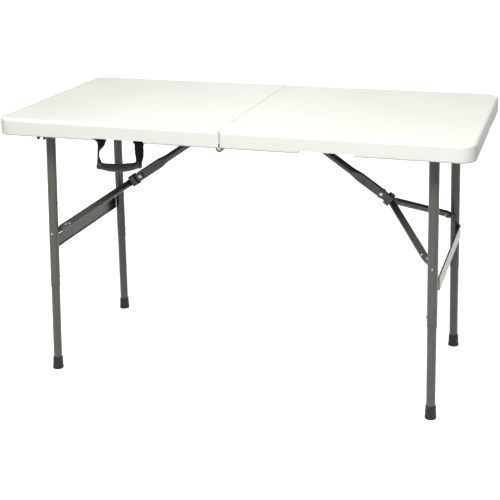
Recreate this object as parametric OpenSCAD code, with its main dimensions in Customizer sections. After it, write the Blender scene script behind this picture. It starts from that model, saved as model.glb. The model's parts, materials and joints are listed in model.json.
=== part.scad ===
// Fold-in-half table: two moulded halves joined by a centre hinge, each with its own pair of
// telescoping legs, a folding Y-brace with a lock ring, and a carrying handle on the left half.
// Frame: X along the length, -Y to the front, +Z up, origin on the floor under the middle.
// The right half is modelled at +X, and the left half is its mirror image.

/* [Table top] */
// Length of the open table
table_l = 1220; // [1200:5:1240]
// Width of the table
table_w = 610; // [600:5:620]
// Height of the table top above the floor
table_h = 735; // [725:1:745]
// Height of the rim
rim_h = 44; // [44:1:50]
// Thickness of the flat panel inside the rim
panel_t = 9; // [8:0.5:9]
// Width of the rim along the three outer sides
rim_w = 20; // [18:0.5:20]
// Width of the rim along the seam
seam_w = 12; // [10:0.5:12]
// Radius of the outer corners in plan
corner_r = 40; // [30:1:50]
// Rounding of the upper outer edge
edge_r = 9; // [6:0.5:9]
// Gap between the two halves
seam_gap = 1.2; // [0.8:0.1:1.6]

/* [Legs] */
// Distance from the seam to each leg pivot
leg_x = 505; // [500:1:510]
// Distance from the middle to each leg at its pivot
leg_y = 205.3; // [200:0.1:208]
// Outward tilt of each leg pair, in degrees
leg_tilt = 1.95; // [1.5:0.05:2.2]
// Sideways splay of each leg, in degrees
leg_splay = 1.95; // [1.5:0.05:2.1]
// Outside diameter of the upper leg tube
leg_d = 25.6; // [25:0.1:26]
// Wall of the upper leg tube
leg_wall = 0.9; // [0.8:0.1:1]
// Length of the upper leg tube below its pivot
upper_len = 458; // [455:1:462]
// Overlap of the two leg tubes when extended
overlap = 70; // [50:1:80]
// Height of the rubber foot
foot_h = 35; // [33:1:36]
// Radius of the foot at the floor
foot_r = 15.4; // [15:0.1:15.6]

/* [Braces] */
// Distance from the seam to each brace pivot
brace_x = 64; // [62:1:66]
// Distance down the leg from its pivot to the arm pivot
arm_s = 307.7; // [305:0.1:310]
// Diameter of the brace tube
brace_d = 20; // [19:0.5:20]
// Diameter of the arm tubes
arm_d = 19; // [18:0.5:19]
// Length of the lock ring
ring_l = 17; // [15:1:18]
// Distance down the leg from its pivot to the middle of the crossbar
bar_s = 347.7; // [346:0.1:350]
// Height of the crossbar
bar_h = 35; // [32:1:35]

/* [Handle] */
// Distance from the seam to the middle of the handle
handle_x = 266; // [255:1:275]
// Half the distance between the two straps
strap_half = 52; // [48:1:56]
// Width of the webbing
strap_w = 24; // [20:1:25]
// Radius of the grip
grip_r = 11; // [9:0.5:11.5]

/* [Hidden] */
$fn = 64;

white = [0.93, 0.93, 0.9];
taupe = [0.38, 0.37, 0.34];
dark_steel = [0.2, 0.2, 0.19];
bright_steel = [0.75, 0.75, 0.76];
black = [0.06, 0.06, 0.06];

half_l = table_l / 2;
half_w = table_w / 2;
rim_z = table_h - rim_h;         // bottom of the rim
under_z = table_h - panel_t;     // underside of the panel
pivot_z = table_h - 26.5;        // height of the leg and brace pivots
hinge_z = rim_z - 0.5;           // axis of the centre hinge
seam_x = seam_gap / 2;
seam_corner_r = 6;
seam_edge_r = 2;
low_edge_r = 2.4;                // rounding of the rim's lower outer edge

// Centre hinge
barrel_r = 9.5;
leaf_t = 2.5;
leaf_l = 56;
hinge_y0 = half_w - 43;          // inner end of each hinge
hinge_y1 = half_w - 4.5;         // outer end of each hinge
hinge_wall = 3;                  // rim left in front of each hinge
knuckle_l = (hinge_y1 - hinge_y0) / 4;
pin_r = 4;
sleeve_r = 5.5;
fit = 0.05;                      // radial running fit of the turning joints

// Rails
rail_h = 18;
rail_w = 20;
rail_t = 1.5;
rail_y = half_w - rim_w - 1 - rail_w / 2;
rail_end = half_l - corner_r - 4;
block_x = leaf_l + 4;            // end of the solid corner that carries each hinge

// Leg pivots
tube_r = 10;
bracket_y = 250;
bracket_t = 3;
plate_t = 2.5;

// Legs
lean = acos(cos(leg_tilt) * cos(leg_splay));
leg_len = pivot_z / cos(lean);
lower_d = leg_d - 2 * leg_wall - 0.2;
lower_wall = 1.2;
bush_h = 2;
button_s = upper_len - 22;       // distance from the pivot to the snap button
button_r = 3.8;
leg_travel = leg_len - foot_h - upper_len - bush_h - 0.6;
bar_t = 4;

// Brace linkage: straight when the legs are down, folded back on itself when they are stowed
brace_angle = atan2(arm_s * cos(leg_tilt), leg_x + arm_s * sin(leg_tilt) - brace_x);
reach = norm([leg_x + arm_s * sin(leg_tilt) - brace_x, arm_s * cos(leg_tilt)]);
fold_back = leg_x - arm_s - brace_x;
brace_len = (reach + fold_back) / 2;
arm_len = (reach - fold_back) / 2;
flat_h = 27;                     // the brace tube is pressed flat near the elbow
flat_t = 8;
flat_l = 72;
taper_l = 26;
elbow_r = 4;
arm_gap = 0.4;
arm_lip = 0.2;                   // raised lip where the arm's tube starts and bends
arm_t = 3;                       // flattened inner end of each arm
arm_end_r = 10;
arm_plate_l = 34;
arm_start = [43, 18.7];          // where each arm's tube starts, from the elbow
arm_bend = [arm_len - 25, 190.6]; // corner of its path, next to the leg
arm_bend_r = 20;
arm_turn = atan2(arm_bend[1] - arm_start[1], arm_bend[0] - arm_start[0]);
arm_wall = 1.2;
tube_end = arm_len - 13;
tongue_h = 14;
tongue_y = 197.6;
ring_at = 24;                    // lock ring's middle, beyond the elbow
ring_in = [21.8, 28.5];
ring_wall = 1.95;
brace_pin_r = 5;
brace_hub_r = 9;
brace_hub_l = 44;

// Handle
handle_y = -(half_w - 12);
notch_h = 5.5;
notch_half = strap_half + strap_w / 2 + 4;
anchor_r = 2;
grip_R = 200;
grip_angle = 18;
grip_z = rim_z - 70;             // height of the middle of the grip
grip_tilt = 5;                   // the grip hangs lower at its outer end
slot_t = 2.6;

// Closing clip
clip_x = 484;
clip_y = -(half_w - 10);

// ---------------------------------------------------------------- helpers

// Draws the right half's part as modelled (s = 1) or mirrored to the left half (s = -1)
module side(s) {
  if (s > 0) children();
  else mirror([1, 0, 0]) children();
}

// Moves to a leg's own frame: pivot at the origin, the leg along -Z. f = -1 front, 1 back
module at_leg(f) {
  translate([leg_x, 0, pivot_z]) rotate([0, -leg_tilt, 0])
    translate([0, f * leg_y, 0]) rotate([f * leg_splay, 0, 0]) children();
}

// Moves to the brace's own frame: pivot at the origin, the elbow on +X
module at_brace() {
  translate([brace_x, 0, pivot_z]) rotate([0, brace_angle, 0]) children();
}

// A cylinder along Y from y0 to y1
module rod_y(r, y0, y1) {
  translate([0, y0, 0]) rotate([-90, 0, 0]) cylinder(r = r, h = y1 - y0);
}

// A cylinder between two points of the XY plane
module rod_xy(a, b, r) {
  d = b - a;
  translate([a[0], a[1], 0]) rotate([0, 0, atan2(d[1], d[0])]) rotate([0, 90, 0])
    cylinder(r = r, h = norm(d));
}

// A box given by its lowest and highest corners
module box(a, b) {
  translate(a) cube(b - a);
}

// Outline of a half: seam at x0 with corner radius r0, outer end at x1 with corner radius r1
module outline(x0, x1, w, r0, r1) {
  translate([x0 + r0, -w / 2]) square([x1 - x0 - r0 - r1, w]);
  translate([x0, -w / 2 + r0]) square([r0, w - 2 * r0]);
  translate([x1 - r1, -w / 2 + r1]) square([r1, w - 2 * r1]);
  for (f = [-1, 1]) {
    translate([x0 + r0, f * (w / 2 - r0)]) circle(r0);
    translate([x1 - r1, f * (w / 2 - r1)]) circle(r1);
  }
}

// A countersunk screw hole or head along +Z, with its face at z = 0
module countersunk(r, head_r, depth) {
  cylinder(r1 = head_r, r2 = r, h = head_r - r);
  cylinder(r = r, h = depth);
}

// ---------------------------------------------------------------- table top

// A layer of the half's outer form with a rounded rim: radius r, centred on the height z
module rounded_rim(r, z) {
  over = 30;
  c = corner_r - r;
  for (f = [-1, 1]) {
    translate([-over, f * (half_w - r), z]) rotate([0, 90, 0]) cylinder(r = r, h = half_l - corner_r + over);
    translate([half_l - corner_r, f * (half_w - corner_r), z]) rotate([0, 0, f > 0 ? 0 : -90])
      rotate_extrude(angle = 90) translate([c, 0]) circle(r);
  }
  translate([half_l - r, -(half_w - corner_r), z]) rod_y(r, 0, table_w - 2 * corner_r);
  translate([0, 0, z - r]) linear_extrude(2 * r) outline(-over, half_l - r, table_w - 2 * r, 1, c);
}

// The right half's outer form, with its edges rounded along the three outer sides
module rounded_block() {
  z0 = rim_z + low_edge_r;
  translate([0, 0, z0]) linear_extrude(rim_h - low_edge_r - edge_r)
    outline(-30, half_l, table_w, 1, corner_r);
  rounded_rim(edge_r, table_h - edge_r);
  rounded_rim(low_edge_r, z0);
}

// Hollow under the panel, leaving the rim and the solid corners that carry the hinges
module recess() {
  translate([0, 0, rim_z - 1]) linear_extrude(rim_h - panel_t + 1) difference() {
    outline(seam_w, half_l - rim_w, table_w - 2 * rim_w, 6, corner_r - rim_w);
    for (f = [-1, 1]) translate([0, f * (half_w - rim_w - 11)]) square([2 * block_x, 24], center = true);
  }
}

// Ways through the seam rim for the stowed feet
module foot_ways() {
  foot_y = leg_y + (leg_len - leg_travel) * sin(leg_splay);
  for (f = [-1, 1]) translate([0, f * foot_y - 19, rim_z - 1])
    cube([seam_w + 8, 38, rim_h - panel_t + 1]);
}

// Room for the hinge barrels and leaves
module hinge_pockets() {
  y0 = hinge_y0 - 3;
  y1 = half_w - hinge_wall;
  for (f = [0, 1]) mirror([0, f, 0]) {
    translate([0, 0, hinge_z]) rod_y(barrel_r + 0.8, y0, y1);
    box([0, y0, rim_z - 1], [leaf_l + 1, y1, rim_z + leaf_t + 0.4]);
  }
}

// Rounding of the upper edge along the seam
module seam_edge() {
  difference() {
    box([seam_x - 1, -half_w - 1, table_h - seam_edge_r], [seam_x + seam_edge_r, half_w + 1, table_h + 1]);
    translate([seam_x + seam_edge_r, 0, table_h - seam_edge_r]) rod_y(seam_edge_r, -half_w - 2, half_w + 2);
  }
}

function bracket_screws() = [for (f = [-1, 1], d = [-13, 13]) [leg_x + d, f * 236]];
function brace_screws() = [for (f = [-1, 1], d = [-15, 15]) [brace_x + d, f * 33]];
function rail_screws() = [for (f = [-1, 1], i = [0:3]) [100 + 145 * i, f * rail_y]];
function leaf_screws() =
  [for (f = [-1, 1], d = [22, 42], e = [-9, 9]) [d, f * ((hinge_y0 + hinge_y1) / 2 + e)]];

// One half of the table top
module top_half() {
  color(white) difference() {
    intersection() {
      rounded_block();
      translate([0, 0, rim_z - 1]) linear_extrude(rim_h + 2)
        outline(seam_x, half_l + 1, table_w + 2, seam_corner_r + 1, 1);
      translate([0, 0, rim_z - 1]) linear_extrude(rim_h + 2)
        outline(seam_x, half_l, table_w, seam_corner_r, corner_r);
    }
    recess();
    foot_ways();
    hinge_pockets();
    seam_edge();
    box([handle_x - notch_half, -half_w - 1, rim_z - 1],
        [handle_x + notch_half, rim_w + 1 - half_w, rim_z + notch_h]);
    box([clip_x - 16, clip_y - 7, rim_z - 1], [clip_x + 16, clip_y + 7, rim_z + 9]);
    box([half_l - rim_w - 1, 20, rim_z - 1], [half_l + 1, 125, rim_z + 5]);
    for (p = concat(bracket_screws(), brace_screws(), rail_screws()))
      translate([p[0], p[1], under_z - 0.1]) cylinder(r = 1.8, h = 5);
    for (p = leaf_screws()) translate([p[0], p[1], rim_z]) cylinder(r = 1.8, h = 14);
  }
}

// Steel rail along one long side. f = -1 front, 1 back
module rail(f) {
  color(taupe) difference() {
    box([block_x + 2, f * rail_y - rail_w / 2, under_z - rail_h],
        [rail_end, f * rail_y + rail_w / 2, under_z]);
    box([block_x + 1, f * rail_y - rail_w / 2 + rail_t, under_z - rail_h - 1],
        [rail_end + 1, f * rail_y + rail_w / 2 - rail_t, under_z - rail_t]);
    for (p = rail_screws()) translate([p[0], p[1], under_z - 5]) cylinder(r = 1.9, h = 10);
  }
}

// Brackets that carry the leg pivot tube, with their screws
module leg_brackets() {
  color(dark_steel) difference() {
    for (f = [0, 1]) mirror([0, f, 0]) {
      translate([leg_x, 0, pivot_z]) rod_y(16, bracket_y, bracket_y + bracket_t);
      box([leg_x - 16, bracket_y, pivot_z], [leg_x + 16, bracket_y + bracket_t, under_z]);
      box([leg_x - 20, 226, under_z - plate_t], [leg_x + 20, bracket_y + 0.1, under_z]);
    }
    translate([leg_x, 0, pivot_z]) rod_y(tube_r + fit, -half_w, half_w);
    for (p = bracket_screws()) translate([p[0], p[1], under_z - 5]) cylinder(r = 1.9, h = 10);
  }
}

// Screws of the rails and brackets, with pan heads, and countersunk screws of the hinge leaves
module screws() {
  color(bright_steel) {
    for (p = concat(bracket_screws(), brace_screws()))
      translate([p[0], p[1], under_z - plate_t]) pan_screw(plate_t);
    for (p = rail_screws()) translate([p[0], p[1], under_z - rail_t]) pan_screw(rail_t);
    for (p = leaf_screws()) translate([p[0], p[1], rim_z + 0.25]) countersunk(1.75, 3.4, 12);
  }
}

// Screw pointing up from z = 0, through a plate of the given thickness
module pan_screw(t) {
  cylinder(r = 1.75, h = t + 4.5);
  translate([0, 0, -1.9]) intersection() {
    cylinder(r = 3.6, h = 1.89);
    translate([0, 0, 4.4]) sphere(r = 4.9);
  }
  translate([0, 0, -0.1]) cylinder(r = 1.75, h = 0.2);
}

// ---------------------------------------------------------------- legs

// Cross tube that a leg pair turns on, with a collar inside each bracket
module pivot_tube() {
  end = bracket_y + 7;
  color(taupe) translate([leg_x, 0, pivot_z]) difference() {
    union() {
      rod_y(tube_r, -end, end);
      for (f = [0, 1]) mirror([0, f, 0]) rod_y(tube_r + 2.5, bracket_y - 3.4, bracket_y - 0.4);
    }
    rod_y(tube_r - 1.5, -end - 1, end + 1);
  }
}

// Upper leg, welded on the pivot tube, with the snap button's two holes
module upper_leg(f) {
  color(taupe) difference() {
    at_leg(f) difference() {
      translate([0, 0, -upper_len]) cylinder(d = leg_d, h = upper_len + 10);
      translate([0, 0, -upper_len - 1]) cylinder(d = leg_d - 2 * leg_wall, h = upper_len - 13);
      for (s = [button_s, button_s - leg_travel])
        translate([0, 0, -s]) rotate([0, -90, 0]) cylinder(r = button_r + 0.4, h = leg_d);
      translate([0, 0, -arm_s / cos(leg_splay)]) rod_y(2.5, f > 0 ? 0 : -leg_d, f > 0 ? leg_d : 0);
    }
    translate([leg_x, 0, pivot_z]) rod_y(tube_r, -half_w, half_w);
  }
}

// Bushes at the lower ends of the upper legs
module leg_bushes() {
  color(dark_steel) for (f = [-1, 1]) at_leg(f) translate([0, 0, -upper_len - bush_h]) difference() {
    cylinder(d = leg_d + 0.4, h = bush_h);
    translate([0, 0, -1]) cylinder(d = lower_d + 2 * fit, h = bush_h + 2);
  }
}

// Lower leg, which slides up inside the upper leg
module lower_leg(f) {
  bottom = leg_len - 7;
  tube_l = bottom - upper_len + overlap;
  color(taupe) at_leg(f) difference() {
    translate([0, 0, -bottom]) cylinder(d = lower_d, h = tube_l);
    translate([0, 0, -bottom - 1]) cylinder(d = lower_d - 2 * lower_wall, h = tube_l + 2);
    translate([0, 0, -button_s]) rotate([0, -90, 0]) cylinder(r = button_r + fit, h = leg_d);
  }
}

// Rubber foot, cut level with the floor
module foot(f) {
  top_r = 13.6;
  color(black) difference() {
    at_leg(f) translate([0, 0, -leg_len - 2]) difference() {
      rotate_extrude() polygon([[0, 0], [foot_r - 1, 0], [foot_r, 3], [foot_r, 7], [foot_r - 1, 12],
        [top_r, foot_h], [top_r - 0.6, foot_h + 2], [0, foot_h + 2]]);
      translate([0, 0, 9]) cylinder(d = lower_d, h = foot_h);
    }
    translate([0, 0, -50]) cube([2 * table_l, 2 * table_w, 100], center = true);
  }
}

// Snap button inside the lower leg, facing the middle of the table, its face flush with the tube
module button(f) {
  foot_z = 4.2;
  color(bright_steel) at_leg(f) translate([0, 0, -button_s]) intersection() {
    rotate([0, -90, 0]) {
      translate([0, 0, foot_z]) cylinder(r = button_r, h = lower_d / 2);
      translate([0, 0, foot_z]) cylinder(r = button_r + 1.4, h = 2);
    }
    cylinder(r = lower_d / 2 - fit, h = 4 * button_r, center = true);
  }
}

// Leaf spring behind the button, bent back at its upper end
module spring(f) {
  w = 6;
  t = 0.6;
  a = 3.6;
  r = 6.3;
  color(bright_steel) at_leg(f) translate([0, 0, -button_s]) {
    box([-a - t, -w / 2, -6], [-a, w / 2, 24]);
    box([-a + 2 * r - 2 * t, -w / 2, -6], [-a + 2 * r - t, w / 2, 24]);
    translate([r - a - t, 0, 24]) difference() {
      rod_y(r, -w / 2, w / 2);
      rod_y(r - t, -w, w);
      translate([0, 0, -r - 0.01]) cube([4 * r, 4 * w, 2 * r], center = true);
    }
  }
}

// Flat crossbar on the outer faces of a leg pair, pressed to a shallow channel
module crossbar() {
  end = leg_y + bar_s * sin(leg_splay) - 4;
  color(taupe) translate([leg_x, 0, pivot_z]) rotate([0, -leg_tilt, 0])
    translate([leg_d / 2, 0, -bar_s]) difference() {
      box([0, -end, -bar_h / 2], [bar_t, end, bar_h / 2]);
      box([-1, 30 - end, 3 - bar_h / 2], [bar_t - 2, end - 30, bar_h / 2 - 3]);
    }
}

// Bright rivet heads on the outer sides of the upper legs, at the arm pivots
module leg_rivets() {
  color(bright_steel) for (f = [-1, 1]) at_leg(f)
    translate([0, f * (leg_d / 2 - leg_wall), -arm_s / cos(leg_splay)]) rotate([-f * 90, 0, 0]) {
      cylinder(r = 2.45, h = leg_wall + 0.4);
      translate([0, 0, leg_wall + 0.15]) cylinder(r1 = 3.2, r2 = 2, h = 0.9);
    }
}

// ---------------------------------------------------------------- braces

// Upper brace: a tube with a hub at its pivot, pressed flat towards the elbow
module upper_brace() {
  tube_l = brace_len - flat_l - taper_l;
  color(taupe) at_brace() difference() {
    union() {
      difference() {
        rotate([0, 90, 0]) cylinder(d = brace_d, h = tube_l);
        translate([brace_hub_r + 2, 0, 0]) rotate([0, 90, 0])
          cylinder(d = brace_d - 2.4, h = tube_l - brace_hub_r - 2);
      }
      rod_y(brace_hub_r, -brace_hub_l / 2, brace_hub_l / 2);
      hull() {
        translate([tube_l, 0, 0]) rotate([0, 90, 0]) cylinder(d = brace_d, h = 0.1, $fn = 32);
        translate([brace_len - flat_l - 0.1, 0, 0]) pressed_section(0.1, 32);
      }
      translate([brace_len - flat_l, 0, 0]) pressed_section(flat_l, 64);
      translate([brace_len, 0, 0]) rod_y(flat_h / 2, -flat_t / 2, flat_t / 2);
    }
    rod_y(brace_pin_r + fit, -brace_hub_l, brace_hub_l);
    translate([brace_len, 0, 0]) rod_y(elbow_r + fit, -flat_t, flat_t);
    for (f = [0, 1]) mirror([0, f, 0]) translate([brace_len - 57, 0, 0]) rod_y(2.8, 1, flat_t);
  }
}

// The flattened tube's section, drawn along +X
module pressed_section(l, facets) {
  rotate([90, 0, 90]) linear_extrude(l) {
    square([flat_t, flat_h - flat_t], center = true);
    for (f = [-1, 1]) translate([0, f * (flat_h - flat_t) / 2]) circle(d = flat_t, $fn = facets);
  }
}

// One arm of the Y: flat at the elbow, a tube bent beside the leg, and a tongue riveted to the leg
module arm(f) {
  inner_y = flat_t / 2 + arm_gap;
  along = [cos(arm_turn), sin(arm_turn)];
  corner = arm_bend_r * tan(arm_turn / 2);
  bend_start = arm_bend - corner * along;
  color(taupe) at_brace() translate([brace_len, 0, 0]) mirror([0, f > 0 ? 0 : 1, 0]) difference() {
    union() {
      rod_y(arm_end_r, inner_y, inner_y + arm_t);
      box([0, inner_y, -arm_end_r], [arm_plate_l, inner_y + arm_t, arm_end_r]);
      hull() {
        box([arm_plate_l - 0.2, inner_y, -arm_end_r], [arm_plate_l, inner_y + arm_t, arm_end_r]);
        rod_xy(arm_start, arm_start + 0.4 * along, arm_d / 2 + arm_lip, $fn = 32);
      }
      difference() {
        rod_xy(arm_start, bend_start + along, arm_d / 2);
        rod_xy(arm_start + 2 * along, bend_start, arm_d / 2 - arm_wall);
      }
      translate([arm_bend[0] + corner, arm_bend[1] - arm_bend_r, 0]) rotate([0, 0, 90])
        rotate_extrude(angle = arm_turn) translate([arm_bend_r, 0]) circle(arm_d / 2 + arm_lip);
      difference() {
        rod_xy([arm_bend[0] + corner - 1, arm_bend[1]], [tube_end, arm_bend[1]], arm_d / 2);
        rod_xy([tube_end - 2, arm_bend[1]], [tube_end + 1, arm_bend[1]], arm_d / 2 - arm_wall);
      }
      box([tube_end - 2, tongue_y, -tongue_h / 2], [arm_len, tongue_y + arm_t, tongue_h / 2]);
      translate([arm_len, 0, 0]) rod_y(tongue_h / 2, tongue_y, tongue_y + arm_t);
      translate([arm_len, tongue_y + 0.1, 0]) rotate([90, 0, 0]) cylinder(r1 = 4.5, r2 = 3, h = 1.4);
    }
    rod_y(elbow_r + fit, -20, 20);
    translate([arm_rivet()[0], arm_rivet()[1], 0]) rotate([0, 0, arm_turn]) rod_y(2.5, -arm_d, arm_d);
  }
}

// Where each arm's rivet crosses its tube, just before the bend
function arm_rivet() =
  arm_bend - (arm_bend_r * tan(arm_turn / 2) + 3.5) * [cos(arm_turn), sin(arm_turn)];

// Rivets of the arms: one through the elbow and one across each tube
module arm_rivets() {
  side_y = flat_t / 2 + arm_gap + arm_t;
  color(bright_steel) at_brace() translate([brace_len, 0, 0]) {
    rod_y(elbow_r, -side_y - 0.5, side_y + 0.5);
    for (f = [0, 1]) mirror([0, f, 0]) {
      translate([0, side_y + 0.3, 0]) rotate([-90, 0, 0]) cylinder(r1 = 6, r2 = 4, h = 1.9);
      translate([arm_rivet()[0], arm_rivet()[1], 0]) rotate([0, 0, arm_turn]) {
        rod_y(2.4, -arm_d / 2 - 0.5, arm_d / 2 + 0.5);
        for (u = [0, 1]) mirror([0, u, 0]) translate([0, arm_d / 2 + 0.03, 0]) rotate([-90, 0, 0])
          cylinder(r1 = 3.8, r2 = 2.4, h = 1.2);
      }
    }
  }
}

// Lock ring that slides along the brace over the elbow
module lock_ring() {
  x0 = brace_len + ring_at - ring_l / 2;
  outer = ring_in + 2 * [ring_wall, ring_wall];
  color(dark_steel) at_brace() translate([x0, 0, 0]) rotate([90, 0, 90]) difference() {
    linear_extrude(ring_l) rounded_rect(outer, 5);
    translate([0, 0, -1]) linear_extrude(ring_l + 2) rounded_rect(ring_in, 3.2);
  }
}

module rounded_rect(size, r) {
  square([size[0] - 2 * r, size[1]], center = true);
  square([size[0], size[1] - 2 * r], center = true);
  for (a = [-1, 1], b = [-1, 1]) translate([a * (size[0] / 2 - r), b * (size[1] / 2 - r)]) circle(r);
}

// Bracket under the panel that carries the brace
module brace_bracket() {
  cheek = brace_hub_l / 2 + 1;
  color(dark_steel) difference() {
    union() {
      box([brace_x - 21, -41, under_z - plate_t], [brace_x + 21, 41, under_z]);
      for (f = [-1, 1]) mirror([0, f > 0 ? 0 : 1, 0]) {
        box([brace_x - 13, cheek, pivot_z], [brace_x + 13, cheek + bracket_t, under_z - 1]);
        translate([brace_x, 0, pivot_z]) rod_y(13, cheek, cheek + bracket_t);
      }
    }
    translate([brace_x, 0, pivot_z]) rod_y(brace_pin_r + fit, -half_w, half_w);
    for (p = brace_screws()) translate([p[0], p[1], under_z - 5]) cylinder(r = 1.9, h = 10);
  }
}

// Pin of the brace pivot, with a head at each end
module brace_pin() {
  end = brace_hub_l / 2 + 1 + bracket_t;
  color(bright_steel) translate([brace_x, 0, pivot_z]) {
    rod_y(brace_pin_r, -end - 1, end + 1);
    for (f = [-1, 1]) rotate([-f * 90, 0, 0]) translate([0, 0, end + 0.3]) cylinder(r = 7, h = 1.6);
  }
}

// ---------------------------------------------------------------- centre hinge

// Knuckles i = 0..3 of one hinge, counted from its inner end; the right half has 1 and 3
module knuckles(f, list, r) {
  for (i = list) {
    y0 = hinge_y0 + i * knuckle_l;
    translate([0, 0, hinge_z]) mirror([0, f > 0 ? 0 : 1, 0]) rod_y(r, y0 + 0.2, y0 + knuckle_l - 0.2);
  }
}

// Clearance around the other half's knuckles
module knuckle_room(f, list) {
  for (i = list) {
    y0 = hinge_y0 + i * knuckle_l;
    translate([0, 0, hinge_z]) mirror([0, f > 0 ? 0 : 1, 0])
      rod_y(barrel_r + 0.5, y0 - 0.2, y0 + knuckle_l + 0.2);
  }
}

// Leaves of the right half, turning on the sleeves (own = [1, 3]) or of the left half, on the pin
module hinge_leaves(own, other, bore) {
  color(dark_steel) for (f = [-1, 1]) difference() {
    union() {
      knuckles(f, own, barrel_r);
      mirror([0, f > 0 ? 0 : 1, 0])
        box([2, hinge_y0 + 0.2, rim_z + 0.2], [leaf_l, hinge_y1 - 0.2, rim_z + 0.2 + leaf_t]);
    }
    knuckle_room(f, other);
    translate([0, 0, hinge_z]) rod_y(bore, -half_w, half_w);
    for (p = leaf_screws()) translate([p[0], p[1], rim_z + 0.19]) countersunk(1.9, 3.6, 10);
  }
}

// Sleeves between the pins and the right half's knuckles
module hinge_sleeves() {
  color(bright_steel) for (f = [-1, 1]) difference() {
    knuckles(f, [1, 3], sleeve_r);
    translate([0, 0, hinge_z]) rod_y(pin_r + fit, -half_w, half_w);
  }
}

// Pins of the centre hinge
module hinge_pins() {
  color(bright_steel) for (f = [-1, 1]) translate([0, 0, hinge_z]) mirror([0, f > 0 ? 0 : 1, 0])
    rod_y(pin_r, hinge_y0 - 1.5, hinge_y1 + 0.8);
}

// ---------------------------------------------------------------- handle and clip

// How far below the hinge axis each strap reaches. s = -1 outer, 1 inner
function strap_l(s) = 56 - s * strap_half * tan(grip_tilt);

// Webbing straps of the handle, looped over the anchor bars
module handle_strap() {
  t = 2.2;
  neck = 12;
  color(black) for (s = [-1, 1]) translate([-handle_x + s * strap_half, handle_y, hinge_z]) {
    difference() {
      union() {
        translate([-strap_w / 2, 0, 0]) rotate([0, 90, 0]) cylinder(r = anchor_r + t, h = strap_w);
        box([-strap_w / 2, -t / 2, neck - strap_l(s)], [strap_w / 2, t / 2, 0]);
      }
      translate([-strap_w, 0, 0]) rotate([0, 90, 0]) cylinder(r = anchor_r + 2 * fit, h = 2 * strap_w);
    }
    box([4 * s - neck / 2, -t / 2, -strap_l(s)], [4 * s + neck / 2, t / 2, neck + 0.1 - strap_l(s)]);
  }
}

// Moulded grip, sagging in the middle, with a slot for each strap
module handle_grip() {
  color([0.16, 0.16, 0.16]) difference() {
    translate([-handle_x, handle_y, grip_z]) rotate([90, -grip_tilt, 0])
      translate([0, grip_R, 0]) rotate([0, 0, -90 - grip_angle])
        rotate_extrude(angle = 2 * grip_angle, $fn = 180) translate([grip_R, 0]) circle(grip_r);
    for (s = [-1, 1]) translate([-handle_x + s * (strap_half + 8), handle_y, hinge_z - strap_l(s) - 0.2 + 15])
      cube([strap_w + 16, slot_t, 30], center = true);
  }
}

// Anchor bars of the handle, each between two lugs under a plate
module handle_anchors() {
  lug_x = strap_w / 2 + 0.5;
  top = rim_z + notch_h;
  color(dark_steel) for (s = [-1, 1]) translate([-handle_x + s * strap_half, handle_y, 0]) {
    translate([-lug_x - 2, 0, hinge_z]) rotate([0, 90, 0]) cylinder(r = anchor_r, h = 2 * lug_x + 4);
    box([-lug_x - 2, -5, top - 1.2], [lug_x + 2, 5, top]);
    for (e = [-1, 1]) box([e * (lug_x + 1) - 1, -3.5, hinge_z - 3], [e * (lug_x + 1) + 1, 3.5, top]);
  }
}

// Clip with two prongs that holds the closed halves together
module closing_clip() {
  color(black) translate([-clip_x, clip_y, 0]) {
    box([-15.5, -6.5, rim_z + 0.5], [15.5, 6.5, rim_z + 9]);
    for (s = [-1, 1]) box([s * 8.5 - 2.5, -4, rim_z - 7.5], [s * 8.5 + 2.5, 4, rim_z + 0.6]);
  }
}

// ---------------------------------------------------------------- nodes

side(1) top_half();  // right_top
side(-1) top_half();  // left_top
side(1) rail(-1);  // right_front_rail
side(1) rail(1);  // right_back_rail
side(-1) rail(-1);  // left_front_rail
side(-1) rail(1);  // left_back_rail
side(1) leg_brackets();  // right_leg_brackets
side(-1) leg_brackets();  // left_leg_brackets
side(1) pivot_tube();  // right_pivot_tube
side(-1) pivot_tube();  // left_pivot_tube
side(1) upper_leg(-1);  // right_front_upper_leg
side(1) upper_leg(1);  // right_back_upper_leg
side(-1) upper_leg(-1);  // left_front_upper_leg
side(-1) upper_leg(1);  // left_back_upper_leg
side(1) leg_bushes();  // right_leg_bushes
side(-1) leg_bushes();  // left_leg_bushes
side(1) lower_leg(-1);  // right_front_lower_leg
side(1) lower_leg(1);  // right_back_lower_leg
side(-1) lower_leg(-1);  // left_front_lower_leg
side(-1) lower_leg(1);  // left_back_lower_leg
side(1) foot(-1);  // right_front_foot
side(1) foot(1);  // right_back_foot
side(-1) foot(-1);  // left_front_foot
side(-1) foot(1);  // left_back_foot
side(1) button(-1);  // right_front_button
side(1) button(1);  // right_back_button
side(-1) button(-1);  // left_front_button
side(-1) button(1);  // left_back_button
side(1) spring(-1);  // right_front_spring
side(1) spring(1);  // right_back_spring
side(-1) spring(-1);  // left_front_spring
side(-1) spring(1);  // left_back_spring
side(1) crossbar();  // right_crossbar
side(-1) crossbar();  // left_crossbar
side(1) leg_rivets();  // right_leg_rivets
side(-1) leg_rivets();  // left_leg_rivets
side(1) upper_brace();  // right_upper_brace
side(-1) upper_brace();  // left_upper_brace
side(1) arm(-1);  // right_front_arm
side(1) arm(1);  // right_back_arm
side(-1) arm(-1);  // left_front_arm
side(-1) arm(1);  // left_back_arm
side(1) arm_rivets();  // right_arm_rivets
side(-1) arm_rivets();  // left_arm_rivets
side(1) lock_ring();  // right_lock_ring
side(-1) lock_ring();  // left_lock_ring
side(1) brace_bracket();  // right_brace_bracket
side(-1) brace_bracket();  // left_brace_bracket
side(1) brace_pin();  // right_brace_pin
side(-1) brace_pin();  // left_brace_pin
side(1) hinge_leaves([1, 3], [0, 2], sleeve_r + fit);  // right_hinge_leaves
side(-1) hinge_leaves([0, 2], [1, 3], pin_r + fit);  // left_hinge_leaves
hinge_sleeves();
hinge_pins();
handle_strap();
handle_grip();
handle_anchors();
closing_clip();
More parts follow.
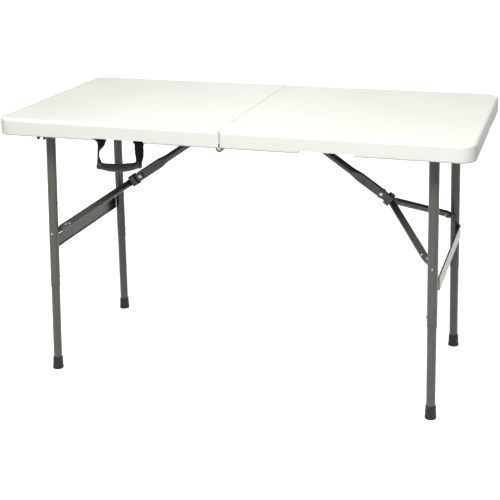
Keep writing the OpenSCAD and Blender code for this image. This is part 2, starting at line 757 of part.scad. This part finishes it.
side(1) screws();  // right_screws
side(-1) screws();  // left_screws
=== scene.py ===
"""Looks for the fold-in-half table. All sizes are in metres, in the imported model's own frame."""

import json
import math

import bmesh
import bpy
from mathutils import Matrix, Vector


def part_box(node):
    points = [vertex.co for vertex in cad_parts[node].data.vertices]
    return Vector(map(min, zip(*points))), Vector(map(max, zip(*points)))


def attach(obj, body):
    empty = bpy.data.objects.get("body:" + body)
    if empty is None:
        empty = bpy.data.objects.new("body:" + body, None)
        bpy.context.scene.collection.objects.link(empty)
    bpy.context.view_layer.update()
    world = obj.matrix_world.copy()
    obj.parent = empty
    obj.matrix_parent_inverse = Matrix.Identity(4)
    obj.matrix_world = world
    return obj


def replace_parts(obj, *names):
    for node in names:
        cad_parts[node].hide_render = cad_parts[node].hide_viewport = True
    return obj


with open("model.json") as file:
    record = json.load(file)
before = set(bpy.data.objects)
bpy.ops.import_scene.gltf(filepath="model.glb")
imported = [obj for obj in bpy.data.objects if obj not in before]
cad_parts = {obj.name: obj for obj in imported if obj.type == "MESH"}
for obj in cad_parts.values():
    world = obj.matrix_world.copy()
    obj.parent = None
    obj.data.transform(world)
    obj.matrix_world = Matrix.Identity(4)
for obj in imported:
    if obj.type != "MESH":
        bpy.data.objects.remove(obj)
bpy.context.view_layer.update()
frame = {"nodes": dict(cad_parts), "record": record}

NODES = frame["nodes"]
JOINTS = {j["name"]: j for j in frame["record"]["behaviour"]["joints"]}
MM = 0.001
SIDES = ("left", "right")
ENDS = ("front", "back")
RIM_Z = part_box("right_top")[0][2]
# height of the top's lower lip over which painted shade darkens the plastic where its rounding faces down
LIP_SHADE_H = 4.5 * MM


# ---------------------------------------------------------------- materials

class Shader:
    """A Principled material with short calls for the nodes that vary over the surface."""

    def __init__(self, name, **constants):
        self.mat = bpy.data.materials.new(name)
        self.mat.use_nodes = True
        self.tree = self.mat.node_tree
        self.bsdf = self.tree.nodes["Principled BSDF"]
        for socket, value in constants.items():
            self.bsdf.inputs[socket.replace("_", " ")].default_value = value
        self.place = self.add("ShaderNodeTexCoord")
        self.bumps = None

    def add(self, kind, links=(), **values):
        node = self.tree.nodes.new(kind)
        for key, value in values.items():
            setattr(node, key, value)
        for socket, source in dict(links).items():
            if isinstance(source, bpy.types.NodeSocket):
                self.tree.links.new(source, node.inputs[socket])
            else:
                node.inputs[socket].default_value = source
        return node

    def at(self, scale=(1, 1, 1), source="Object"):
        return self.add("ShaderNodeMapping", {0: self.place.outputs[source], 3: scale}).outputs[0]

    def noise(self, scale, detail=4.0, rough=0.5, stretch=(1, 1, 1)):
        links = {"Vector": self.at(stretch), "Scale": scale, "Detail": detail, "Roughness": rough}
        return self.add("ShaderNodeTexNoise", links).outputs[0]

    def cells(self, scale, smooth=0.6):
        links = {"Vector": self.at(), "Scale": scale, "Smoothness": smooth}
        return self.add("ShaderNodeTexVoronoi", links, feature="SMOOTH_F1").outputs[0]

    def math(self, kind, a, b=0.0):
        return self.add("ShaderNodeMath", {0: a, 1: b}, operation=kind).outputs[0]

    def remap(self, value, low, high, to_low=0.0, to_high=1.0):
        links = {0: value, 1: low, 2: high, 3: to_low, 4: to_high}
        return self.add("ShaderNodeMapRange", links, clamp=True).outputs[0]

    def mix(self, factor, a, b):
        node = self.add("ShaderNodeMix", data_type="RGBA")
        for socket, value in ((node.inputs[0], factor), (node.inputs[6], a), (node.inputs[7], b)):
            if isinstance(value, bpy.types.NodeSocket):
                self.tree.links.new(value, socket)
            else:
                socket.default_value = value
        return node.outputs[2]

    def colour(self, value):
        self.tree.links.new(value, self.bsdf.inputs["Base Color"])

    def roughness(self, value):
        self.tree.links.new(value, self.bsdf.inputs["Roughness"])

    def bump(self, height, distance, strength=1.0):
        links = {"Height": height, "Distance": distance, "Strength": strength}
        if self.bumps is not None:
            links["Normal"] = self.bumps
        self.bumps = self.add("ShaderNodeBump", links).outputs[0]
        self.tree.links.new(self.bumps, self.bsdf.inputs["Normal"])

    def edges(self, low, high):
        """1 on sharp outer edges, 0 elsewhere."""
        return self.remap(self.add("ShaderNodeNewGeometry").outputs["Pointiness"], low, high)


def rgb(r, g, b):
    return (r, g, b, 1.0)


def moulded_plastic():
    s = Shader("moulded_plastic", Specular_IOR_Level=0.35)
    cloud = s.noise(5.0, 3.0)
    fine = s.noise(60.0, 5.0, 0.6)
    body = s.mix(cloud, rgb(0.835, 0.847, 0.775), rgb(0.865, 0.877, 0.81))
    streak = s.remap(s.noise(22.0, 8.0, 0.75, (1.0, 7.0, 7.0)), 0.66, 0.8, 0.0, 0.22)
    scuffed = s.mix(streak, body, rgb(0.74, 0.745, 0.68))
    flecked = s.mix(s.remap(fine, 0.62, 0.9, 0.0, 0.25), scuffed, rgb(0.79, 0.795, 0.73))
    # painted shade: the lowest few millimetres of the top's lip darken to grey, where the rounded lower
    # edge faces the floor
    height = s.add("ShaderNodeSeparateXYZ", {0: s.place.outputs["Object"]}).outputs["Z"]
    lip_shade = s.remap(height, RIM_Z, RIM_Z + LIP_SHADE_H, 0.85, 0.0)
    s.colour(s.mix(lip_shade, flecked, rgb(0.4, 0.4, 0.36)))
    s.roughness(s.remap(s.math("ADD", cloud, streak), 0.2, 1.0, 0.3, 0.46))
    s.bump(s.cells(620.0), 0.00028, 0.55)
    s.bump(s.noise(14.0, 2.0), 0.0012, 0.25)
    return s.mat


def powder_coat(name, dark, light, rough):
    s = Shader(name, Specular_IOR_Level=0.5)
    cloud = s.noise(7.0, 5.0, 0.6)
    base = s.mix(cloud, dark, light)
    speck = s.remap(s.noise(900.0, 2.0), 0.68, 0.78, 0.0, 0.08)
    worn = s.math("MULTIPLY", s.edges(0.56, 0.64), 0.35)
    chipped = tuple(min(1.0, 1.5 * v) for v in light)
    s.colour(s.mix(s.math("MAXIMUM", speck, worn), base, chipped))
    s.roughness(s.remap(s.noise(25.0, 3.0), 0.3, 0.7, rough, rough + 0.04))
    s.bump(s.noise(1400.0, 3.0, 0.6), 0.00005, 0.15)
    return s.mat


def plated_steel(name, dark, light):
    s = Shader(name, Metallic=1.0)
    cloud = s.noise(160.0, 5.0, 0.65)
    s.colour(s.mix(cloud, dark, light))
    s.roughness(s.remap(s.noise(500.0, 4.0, 0.6), 0.3, 0.7, 0.24, 0.44))
    s.bump(s.noise(900.0, 4.0, 0.6), 0.0001, 0.4)
    return s.mat


def foot_rubber():
    s = Shader("foot_rubber", Specular_IOR_Level=0.35)
    dust = s.remap(s.noise(90.0, 6.0, 0.7), 0.45, 0.75, 0.0, 0.35)
    s.colour(s.mix(dust, rgb(0.012, 0.012, 0.011), rgb(0.045, 0.043, 0.038)))
    s.roughness(s.remap(dust, 0.0, 0.35, 0.5, 0.78))
    s.bump(s.noise(700.0, 4.0, 0.7), 0.0002, 0.5)
    return s.mat


def black_plastic(name, dark, light, grain):
    s = Shader(name, Specular_IOR_Level=0.35)
    s.colour(s.mix(s.noise(70.0, 5.0, 0.6), dark, light))
    s.roughness(s.remap(s.noise(220.0, 4.0, 0.6), 0.3, 0.7, 0.34, 0.52))
    s.bump(s.cells(grain, 0.4), 0.00018, 0.5)
    return s.mat


def webbing():
    """Woven nylon tape: warp ribs along the tape and a herringbone of weft, from UVs in metres."""
    s = Shader("webbing", Specular_IOR_Level=0.1, Sheen_Weight=0.02, Sheen_Roughness=0.4)
    uv = s.add("ShaderNodeSeparateXYZ", {0: s.place.outputs["UV"]})
    rib = 2 * math.pi / (1.6 * MM)
    weft = 2 * math.pi / (1.2 * MM)
    across = s.math("SINE", s.math("MULTIPLY", uv.outputs[0], rib))
    step = s.math("MULTIPLY", s.math("SIGN", across), math.pi / 2)
    along = s.math("SINE", s.math("ADD", s.math("MULTIPLY", uv.outputs[1], weft), step))
    thread = s.math("MULTIPLY", s.math("ABSOLUTE", across), s.remap(along, -1.0, 1.0, 0.35, 1.0))
    fuzz = s.noise(1800.0, 3.0, 0.7)
    lit = s.math("MULTIPLY", thread, fuzz)
    s.colour(s.mix(lit, rgb(0.002, 0.002, 0.0018), rgb(0.011, 0.011, 0.009)))
    s.roughness(s.remap(fuzz, 0.3, 0.7, 0.62, 0.85))
    s.bump(thread, 0.0004, 0.8)
    return s.mat


def weld_metal():
    s = Shader("weld_metal", Specular_IOR_Level=0.5)
    s.colour(s.mix(s.noise(300.0, 4.0, 0.6), rgb(0.075, 0.072, 0.064), rgb(0.14, 0.135, 0.12)))
    s.roughness(s.remap(s.noise(400.0, 3.0), 0.3, 0.7, 0.35, 0.6))
    s.bump(s.noise(900.0, 4.0, 0.6), 0.0002, 0.5)
    return s.mat


PLASTIC = moulded_plastic()
PAINT = powder_coat("leg_powder_coat", rgb(0.063, 0.064, 0.05), rgb(0.072, 0.073, 0.058), 0.24)
DARK = powder_coat("dark_steel", rgb(0.042, 0.042, 0.033), rgb(0.054, 0.054, 0.043), 0.28)
ZINC = plated_steel("plated_steel", rgb(0.27, 0.27, 0.26), rgb(0.47, 0.47, 0.45))
DULL = plated_steel("dull_steel", rgb(0.16, 0.16, 0.15), rgb(0.32, 0.32, 0.3))
RUBBER = foot_rubber()
GRIP = black_plastic("grip_plastic", rgb(0.008, 0.008, 0.007), rgb(0.016, 0.016, 0.014), 900.0)
CLIP = black_plastic("clip_plastic", rgb(0.008, 0.008, 0.008), rgb(0.018, 0.018, 0.018), 1300.0)
WEBBING = webbing()
WELD = weld_metal()

FINISHES = (
    (("_top",), PLASTIC),
    (("_foot",), RUBBER),
    (("_brackets", "_bracket", "_leaves", "_bushes", "_ring", "_anchors"), DARK),
    (("_leg_rivets",), DULL),
    (("_screws", "_rivets", "_pin", "_pins", "_sleeves", "_button", "_spring"), ZINC),
    (("_clip",), CLIP),
    (("_grip",), GRIP),
    (("_strap",), WEBBING),
    (("",), PAINT),
)


def finish_of(node):
    return next(mat for ends, mat in FINISHES if node.endswith(ends))


for node_name, node_object in NODES.items():
    for slot in node_object.material_slots:
        slot.material = finish_of(node_name)


# ---------------------------------------------------------------- mesh helpers

def make(name, verts, faces, material, uvs=None):
    """A smooth-shaded mesh object from vertices and faces, with optional UVs, one per vertex."""
    mesh = bpy.data.meshes.new(name)
    mesh.from_pydata([tuple(v) for v in verts], [], faces)
    mesh.validate()
    mesh.materials.append(material)
    if uvs is not None:
        layer = mesh.uv_layers.new(name="metres")
        for loop in mesh.loops:
            layer.data[loop.index].uv = uvs[loop.vertex_index]
    for polygon in mesh.polygons:
        polygon.use_smooth = True
    piece = bpy.data.objects.new(name, mesh)
    bpy.context.scene.collection.objects.link(piece)
    cleaner = bmesh.new()
    cleaner.from_mesh(mesh)
    bmesh.ops.recalc_face_normals(cleaner, faces=cleaner.faces)
    cleaner.to_mesh(mesh)
    cleaner.free()
    return piece


def rings_to_faces(rings, around, closed_ends=True):
    """Faces between rings of vertices, around to a ring, with a face on each end if they are closed."""
    faces = []
    for i in range(rings - 1):
        near, far = i * around, (i + 1) * around
        for k in range(around):
            n = (k + 1) % around
            faces.append((near + k, near + n, far + n, far + k))
    if closed_ends:
        faces.append(tuple(range(around)))
        faces.append(tuple((rings - 1) * around + k for k in range(around)))
    return faces


def lathe(name, profile, where, axis, material, around=32, ripple=None):
    """A turned piece: profile is (radius, height) along axis from where.

    ripple(angle, i) scales the radius of profile point i."""
    turn = Vector((0, 0, 1)).rotation_difference(Vector(axis)).to_matrix()
    verts = []
    for i, (radius, height) in enumerate(profile):
        for k in range(around):
            angle = 2 * math.pi * k / around
            r = radius * (ripple(angle, i) if ripple else 1.0)
            spot = Vector((r * math.cos(angle), r * math.sin(angle), height))
            verts.append(Vector(where) + turn @ spot)
    return make(name, verts, rings_to_faces(len(profile), around), material)


def join(pieces, name):
    """One object from several, so that a group of like pieces is one entry."""
    with bpy.context.temp_override(active_object=pieces[0], selected_editable_objects=pieces):
        bpy.ops.object.join()
    pieces[0].name = name
    pieces[0].data.name = name
    return pieces[0]


def centre(node):
    low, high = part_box(node)
    return (Vector(low) + Vector(high)) / 2


# ---------------------------------------------------------------- carrying handle

def tape_outline(half_width, thickness):
    """A tape's section, with flat faces and round edges, as (across, up) points."""
    steps, corners = 8, 3
    half_t = thickness / 2
    flat = half_width - half_t
    bends = [math.pi * k / (corners + 1) for k in range(1, corners + 1)]
    outline = [(flat * (1 - 2 * k / steps), half_t) for k in range(steps + 1)]
    outline += [(-flat - half_t * math.sin(a), half_t * math.cos(a)) for a in bends]
    outline += [(flat * (2 * k / steps - 1), -half_t) for k in range(steps + 1)]
    outline += [(flat + half_t * math.sin(a), -half_t * math.cos(a)) for a in bends]
    return outline


def ribbon(name, points, sideways, half_widths, thickness, material):
    """Webbing along points: sideways gives each point's width direction. UVs are in metres."""
    verts, uvs = [], []
    travelled = 0.0
    for i, point in enumerate(points):
        before = points[max(i - 1, 0)]
        after = points[min(i + 1, len(points) - 1)]
        forward = (after - before).normalized()
        side = (sideways[i] - forward * sideways[i].dot(forward)).normalized()
        up = forward.cross(side)
        if i:
            travelled += (point - points[i - 1]).length
        outline = tape_outline(half_widths[i], thickness)
        for x, y in outline:
            verts.append(point + side * x + up * y)
            uvs.append((x, travelled))
    return make(name, verts, rings_to_faces(len(points), len(outline)), material, uvs)


def smooth_step(t):
    t = min(max(t, 0.0), 1.0)
    return t * t * (3 - 2 * t)


HANDLE_BAR = Vector(JOINTS["handle_swing"]["pos_m"])
LEAN = Vector((-5 * MM, 0, 0))
GRIP_DROP = 69.5 * MM
GRIP_MIDDLE = HANDLE_BAR - Vector((0, 0, GRIP_DROP)) + LEAN
GRIP_TILT = math.radians(5)
GRIP_BEND = 200 * MM
STRAP_HALF_W = 12 * MM
STRAP_NARROWING = 2.4 * MM
TAPE = 1.1 * MM
LOOP_HOLE_R = 2.25 * MM
LOOP_R = LOOP_HOLE_R + TAPE / 2
SEAM_DROP = 2.4 * MM


def strap_loop(x, tail):
    """Middle line of the sewn tail and of the turn over the anchor bar."""
    points = []
    for k in range(5):
        in_front = 0.65 * MM + LOOP_R * 0.6 * (k / 4) ** 2
        drop = SEAM_DROP + tail * (1 - k / 4)
        points.append(Vector((x, HANDLE_BAR.y - in_front, HANDLE_BAR.z - drop)))
    for k in range(9):
        a = math.radians(200 - 27.5 * k)
        out = LOOP_R * Vector((0, math.cos(a), math.sin(a)))
        points.append(Vector((x, HANDLE_BAR.y, HANDLE_BAR.z)) + out)
    return points


def stitch_rows(x, tail):
    """Two rows of stitches across the sewn tail."""
    pitch, first, in_front = 2 * MM, -8 * MM, 1.25 * MM
    profile = [(0.05 * MM, -0.8 * MM), (0.32 * MM, -0.55 * MM), (0.4 * MM, 0),
               (0.32 * MM, 0.55 * MM), (0.05 * MM, 0.8 * MM)]
    stitches = []
    for row in (0.25, 0.8):
        for k in range(9):
            drop = SEAM_DROP + tail * row
            at = Vector((x + first + pitch * k, HANDLE_BAR.y - in_front, HANDLE_BAR.z - drop))
            stitches.append(lathe("stitch", profile, at, (1, 0, 0), GRIP, 8))
    return stitches


def handle_strap(side, tail, turn_over, turns, outward_end):
    """One strap: looped over its anchor bar, sewn to itself, then turning down to the grip.

    tail is the sewn length, and turn_over the share of the fall over which it turns. turns are its
    angles in degrees a little below the bar and at the grip. outward_end is how far it stands outwards."""
    low, high = (Vector(v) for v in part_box("handle_strap"))
    x = low.x + STRAP_HALF_W if side < 0 else high.x - STRAP_HALF_W
    from_middle = x - HANDLE_BAR.x
    bend = math.asin(from_middle / GRIP_BEND)
    rise = from_middle * math.tan(GRIP_TILT) + GRIP_BEND * (1 - math.cos(bend))
    above_grip = 3 * MM
    end_z = GRIP_MIDDLE.z + rise + above_grip
    top_z = HANDLE_BAR.z - SEAM_DROP
    points = strap_loop(x, tail)
    sides = [Vector((1, 0, 0)) for _ in points]
    halves = [STRAP_HALF_W for _ in points]
    steps = 36
    # t runs from the stitches, 0, to the grip, 1
    for k in range(1, steps + 1):
        t = k / steps
        near_grip = smooth_step((t - 0.6) / 0.4)
        turned = smooth_step((t - 0.02) / turn_over)
        turn = math.radians(turns[0] + (turns[1] - turns[0]) * near_grip) * turned
        outward = outward_end * turned * (1 - 0.6 * near_grip)
        set_back = LOOP_R * 0.8 * (1 - smooth_step(t * 5)) + 0.6 * MM * (1 - smooth_step(t * 1.5))
        spot = Vector((x + side * outward, HANDLE_BAR.y + set_back, top_z + (end_z - top_z) * t))
        points.append(spot + LEAN * t)
        sides.append(Vector((math.cos(turn), math.sin(turn), 0)))
        halves.append(STRAP_HALF_W - STRAP_NARROWING * turned)
    name = "strap_outer" if side < 0 else "strap_inner"
    strap = ribbon(name, points, sides, halves, TAPE, WEBBING)
    strap = join([strap] + stitch_rows(x, tail), name)
    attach(strap, "handle")
    return strap


def grip():
    """The moulded grip: a sagging bar with a swelling middle, finger waves below and flared ends."""
    low, high = (Vector(v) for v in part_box("handle_grip"))
    radius = (high.y - low.y) / 2
    tilted = Matrix.Rotation(-GRIP_TILT, 3, "Y")
    half_angle = math.radians(17.8)
    finger_h, seam_h = 0.5 * MM, 0.25 * MM
    rings, around = 61, 40
    verts = []
    for i in range(rings):
        s = 2 * i / (rings - 1) - 1
        a = half_angle * s
        line = Vector((GRIP_BEND * math.sin(a), 0, GRIP_BEND * (1 - math.cos(a))))
        out = Vector((math.sin(a), 0, -math.cos(a)))
        cap = math.sqrt(max(0.0, 1 - max(0.0, (abs(s) - 0.93) / 0.07) ** 2))
        waist = 0.16 * smooth_step((abs(s) - 0.35) / 0.35)
        flare = 1 - waist + 0.13 * smooth_step((abs(s) - 0.8) / 0.1)
        for k in range(around):
            b = 2 * math.pi * k / around
            below = max(0.0, math.cos(b))
            wave = finger_h * math.cos(9 * s) * below * smooth_step((0.8 - abs(s)) / 0.2)
            seam = seam_h * math.exp(-((abs(math.sin(b)) - 1) / 0.02) ** 2)
            r_out = (radius * 0.97 * flare + wave) * max(cap, 0.05)
            r_side = (radius * 0.95 * flare + seam) * max(cap, 0.05)
            spot = line + out * r_out * math.cos(b) + Vector((0, 1, 0)) * r_side * math.sin(b)
            verts.append(GRIP_MIDDLE + tilted @ spot)
    piece = make("moulded_grip", verts, rings_to_faces(rings, around), GRIP)
    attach(piece, "handle")
    return piece


outer_strap = handle_strap(-1, tail=4 * MM, turn_over=0.4, turns=(-51, -22), outward_end=6.5 * MM)
handle_strap(1, tail=13 * MM, turn_over=0.98, turns=(56, 56), outward_end=4.5 * MM)
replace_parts(outer_strap, "handle_strap")
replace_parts(grip(), "handle_grip")


# ---------------------------------------------------------------- snap buttons and painted hole shade

def button_dome(side, end):
    """The button's round head, standing out through the hole in the upper leg."""
    node = f"{side}_{end}_button"
    inward = Vector(JOINTS[node + "_press"]["axis"])
    low, high = (Vector(v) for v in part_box(node))
    radius, reach, sunk = 3.7 * MM, 3.4 * MM, 1.5 * MM
    face = centre(node) - inward * (high.x - low.x) / 2
    profile = [(radius, -sunk)]
    profile += [(radius * math.cos(a), reach * 0.4 + reach * 0.6 * math.sin(a))
                for a in (math.pi / 2 * k / 8 for k in range(8))]
    profile.append((0.02 * MM, reach))
    dome = lathe(node + "_dome", profile, face, -inward, ZINC, 28)
    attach(dome, node)


def brace_hole_shade(side):
    """Dark inserts in the hole of the pressed end of a brace, one on each face: painted shade that makes
    the hole read dark.
    """
    from_elbow, face_y = 57 * MM, 3.9 * MM
    elbow = Vector(JOINTS[side + "_elbow"]["pos_m"])
    start = Vector(JOINTS[side + "_brace_fold"]["pos_m"])
    where = elbow + (start - elbow).normalized() * from_elbow
    profile = [(0.02 * MM, 0.0), (0.7 * MM, 0.05 * MM), (1.3 * MM, -0.5 * MM), (2.1 * MM, -0.6 * MM),
               (2.5 * MM, 0.1 * MM), (2.75 * MM, 0.1 * MM), (2.75 * MM, -0.8 * MM)]
    # painted shade: a dark insert sits in each face of the hole, so that the hole reads dark
    inserts_of_shade = [lathe("painted_hole_shade", profile, where + Vector((0, face * face_y, 0)), (0, face, 0), CLIP)
             for face in (-1, 1)]
    pair = join(inserts_of_shade, side + "_brace_painted_shades")
    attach(pair, side + "_brace")


# ---------------------------------------------------------------- welds

def weld_ring(where, axis, radius):
    """A bead of weld round a tube, with the ripples of its passes."""
    bead, sunk = 1.6 * MM, 0.4 * MM
    profile = [(radius - sunk, -bead), (radius + bead * 0.55, -bead * 0.6), (radius + bead * 0.8, 0),
               (radius + bead * 0.55, bead * 0.6), (radius - sunk, bead)]

    def ripple(angle, i):
        return 1 + 0.02 * abs(math.sin(22 * angle)) + 0.012 * math.sin(3 * angle + i)

    return lathe("weld", profile, where, axis, WELD, 96, ripple)


def pivot_welds(side):
    """The beads that hold the upper legs to the cross tube they turn on."""
    pivot = Vector(JOINTS[side + "_leg_fold"]["pos_m"])
    tube_r, beads_apart = 10 * MM, 26.5 * MM
    beads = []
    for end in ENDS:
        low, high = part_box(f"{side}_{end}_upper_leg")
        inner, outer = sorted((low[1], high[1]), key=abs)
        outward = 1 if outer > 0 else -1
        for y in (inner, inner + outward * beads_apart):
            beads.append(weld_ring((pivot.x, y, pivot.z), (0, 1, 0), tube_r))
    welds = join(beads, side + "_welds")
    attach(welds, side + "_legs")


for side_name in SIDES:
    pivot_welds(side_name)
    for end_name in ENDS:
        button_dome(side_name, end_name)


# ---------------------------------------------------------------- underside mouldings

def underside(side):
    """Shallow pads under the panel, with a flat lane in the middle for the stowed brace."""
    sign = -1 if side == "left" else 1
    rail_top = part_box(f"{side}_front_rail")[1][2]
    x0, x1, half_y = 100 * MM, 470 * MM, 219 * MM
    pitch, depth, step, lane = 37 * MM, 1.1 * MM, 3.7 * MM, 19 * MM
    # the sheet's edges are sunk in the panel, and the rest stands out by its skin and the pads
    sunk, skin, lane_edge = 0.1 * MM, 0.3 * MM, 4 * MM
    nx = round((x1 - x0) / step)
    ny = round(2 * half_y / step)
    verts = []
    for i in range(nx + 1):
        for j in range(ny + 1):
            x = x0 + (x1 - x0) * i / nx
            y = half_y * (2 * j / ny - 1)
            u = abs(((x - x0) / pitch) % 1 - 0.5) * 2
            v = abs(((y + half_y) / pitch) % 1 - 0.5) * 2
            pad = smooth_step((0.82 - max(u, v)) / 0.2) * smooth_step((abs(y) - lane) / lane_edge)
            rim = smooth_step(min(i, nx - i, j, ny - j) / 2)
            verts.append((sign * x, y, rail_top + sunk - (skin + depth * pad) * rim))
    row = ny + 1
    faces = [(i * row + j, (i + 1) * row + j, (i + 1) * row + j + 1, i * row + j + 1)
             for i in range(nx) for j in range(ny)]
    piece = make(side + "_underside", verts, faces, PLASTIC)
    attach(piece, side + "_half")


for side_name in SIDES:
    underside(side_name)
    brace_hole_shade(side_name)


# ---------------------------------------------------------------- floor, light and camera

def floor():
    """A pale floor that glows, a little more far away, so that it stays white to the horizon.

    It throws no diffuse light back. The dim lower half of the world does that instead, so that the legs
    stay shaded under the top."""
    size, below = 40.0, -0.5 * MM
    s = Shader("studio_floor", Specular_IOR_Level=0.1, Emission_Color=rgb(1, 1, 1))
    s.colour(s.mix(s.noise(0.7, 2.0), rgb(0.94, 0.94, 0.94), rgb(0.96, 0.96, 0.96)))
    s.roughness(s.remap(s.noise(3.0), 0.3, 0.7, 0.8, 0.9))
    length = s.add("ShaderNodeVectorMath", {0: s.place.outputs["Object"]}, operation="LENGTH")
    glow = s.remap(length.outputs["Value"], 0.8, 4.0, 0.7, 0.85)
    s.tree.links.new(glow, s.bsdf.inputs["Emission Strength"])
    verts = [(x * size, y * size, below) for x, y in ((-1, -1), (1, -1), (1, 1), (-1, 1))]
    plane = make("floor", verts, [(0, 1, 2, 3)], s.mat)
    plane.visible_diffuse = False


def backdrop():
    """A white wall round the floor, seen by the camera only, so that low views have no dark horizon."""
    radius, around, heights = 39.0, 96, (-1.0, 60.0)
    glow = {"Emission_Color": rgb(1, 1, 1), "Emission_Strength": 0.95}
    s = Shader("studio_wall", Specular_IOR_Level=0.0, **glow)
    s.colour(s.mix(s.noise(0.3, 2.0), rgb(0.9, 0.9, 0.9), rgb(0.92, 0.92, 0.92)))
    angles = [2 * math.pi * k / around for k in range(around)]
    verts = [(radius * math.cos(a), radius * math.sin(a), z) for z in heights for a in angles]
    wall = make("wall", verts, rings_to_faces(2, around, False), s.mat)
    wall.visible_diffuse = False
    wall.visible_glossy = False
    wall.visible_shadow = False


def studio_world():
    """A soft white room, darker to the left and right and towards the horizon."""
    world = bpy.data.worlds.new("studio")
    world.use_nodes = True
    tree = world.node_tree
    coord = tree.nodes.new("ShaderNodeTexCoord")
    split = tree.nodes.new("ShaderNodeSeparateXYZ")
    sideways = tree.nodes.new("ShaderNodeMath")
    sideways.operation = "ABSOLUTE"
    product = tree.nodes.new("ShaderNodeMath")
    product.operation = "MULTIPLY"
    tree.links.new(coord.outputs["Generated"], split.inputs[0])
    tree.links.new(split.outputs["X"], sideways.inputs[0])
    # each fade runs from its first value to its second, and from its third strength to its fourth
    side_fade, height_fade = (0.1, 0.9, 0.5, 0.08), (0.0, 0.7, 0.36, 1.1)
    fades = ((sideways.outputs[0], side_fade), (split.outputs["Z"], height_fade))
    for number, (source, values) in enumerate(fades):
        fade = tree.nodes.new("ShaderNodeMapRange")
        for i, value in enumerate(values):
            fade.inputs[i + 1].default_value = value
        tree.links.new(source, fade.inputs[0])
        tree.links.new(fade.outputs[0], product.inputs[number])
    background = tree.nodes["Background"]
    background.inputs["Color"].default_value = rgb(1, 1, 1)
    tree.links.new(product.outputs[0], background.inputs["Strength"])
    bpy.context.scene.world = world


def area_light(name, where, towards, size, power):
    """A round lamp of that diameter and wattage, which the camera doesn't see."""
    lamp = bpy.data.lights.new(name, "AREA")
    lamp.shape = "DISK"
    lamp.size = size
    lamp.energy = power
    lamp_object = bpy.data.objects.new(name, lamp)
    lamp_object.location = where
    beam = Vector(towards) - Vector(where)
    lamp_object.rotation_euler = beam.to_track_quat("-Z", "Y").to_euler()
    lamp_object.visible_camera = False
    bpy.context.scene.collection.objects.link(lamp_object)


def camera():
    place = Vector((0.8201, -2.5969, 1.2991))
    aim = Vector((-0.0232, 0.0, 0.3236))
    roll = math.radians(-0.9)
    data = bpy.data.cameras.new("camera")
    data.lens = 74.4
    data.sensor_width = 36.0
    data.clip_end = 200.0
    view = bpy.data.objects.new("camera", data)
    turn = (aim - place).to_track_quat("-Z", "Y").to_matrix() @ Matrix.Rotation(roll, 3, "Z")
    view.location = place
    view.rotation_euler = turn.to_euler()
    bpy.context.scene.collection.objects.link(view)
    bpy.context.scene.camera = view


floor()
backdrop()
area_light("key", (0.5, -2.65, 3.15), (0.1, 0, 0.6), 1.3, 140)
area_light("overhead", (0.1, -0.3, 3.5), (0, 0, 0.7), 3.2, 13)
area_light("back", (-1.0, 2.8, 2.6), (0, 0, 0.6), 2.0, 12)
studio_world()
bpy.context.scene.view_settings.view_transform = "Standard"
camera()
